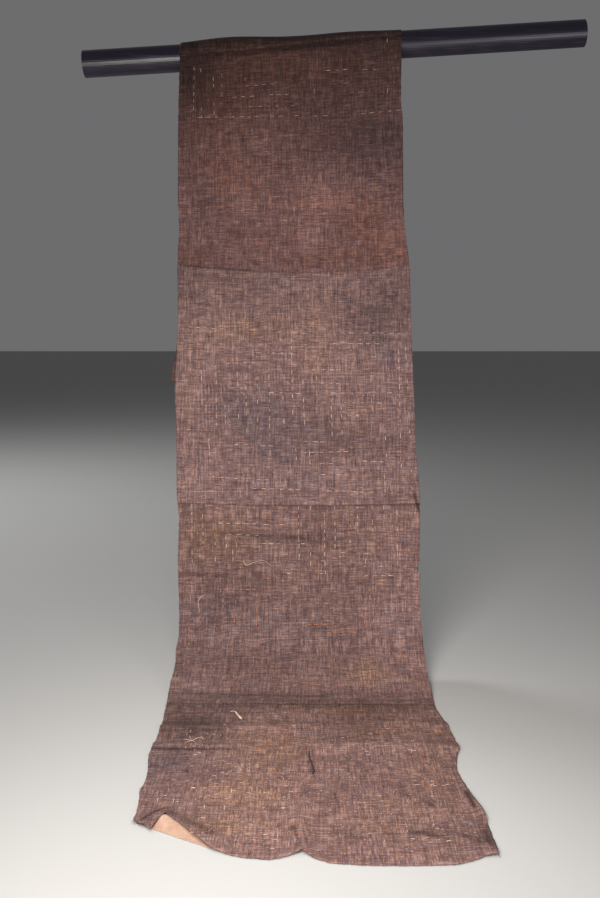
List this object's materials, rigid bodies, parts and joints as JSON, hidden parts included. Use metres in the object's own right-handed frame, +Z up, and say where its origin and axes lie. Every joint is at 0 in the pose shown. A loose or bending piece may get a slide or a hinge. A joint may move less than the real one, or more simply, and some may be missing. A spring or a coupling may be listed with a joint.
{
  "type": "kuba cloth on a hanging rod",
  "caption": "Long strip of dark raffia panels sewn end to end, hung over a round rod, with its lower end curving forward onto the floor and a light backing at one corner.",
  "frame": {"origin": "centre of the bounding box in X and Y, on the floor that the lower end lies on", "axes": "+Z up, the face of the cloth toward -Y, the rod along X with its right end a little higher"},
  "size_m": [1.3418, 1.2651, 1.699],
  "materials": {
    "rod": "satin",
    "dyed_raffia": "plain weave",
    "undyed_raffia": "plain weave"
  },
  "bodies": {
    "root": {"rod": "rod", "panel_back_lower": "dyed_raffia", "panel_back_upper": "dyed_raffia", "panel_front_1": "dyed_raffia", "panel_front_2": "dyed_raffia", "panel_front_3": "dyed_raffia", "panel_front_4": "dyed_raffia", "corner_backing": "undyed_raffia"}
  },
  "joints": []
}
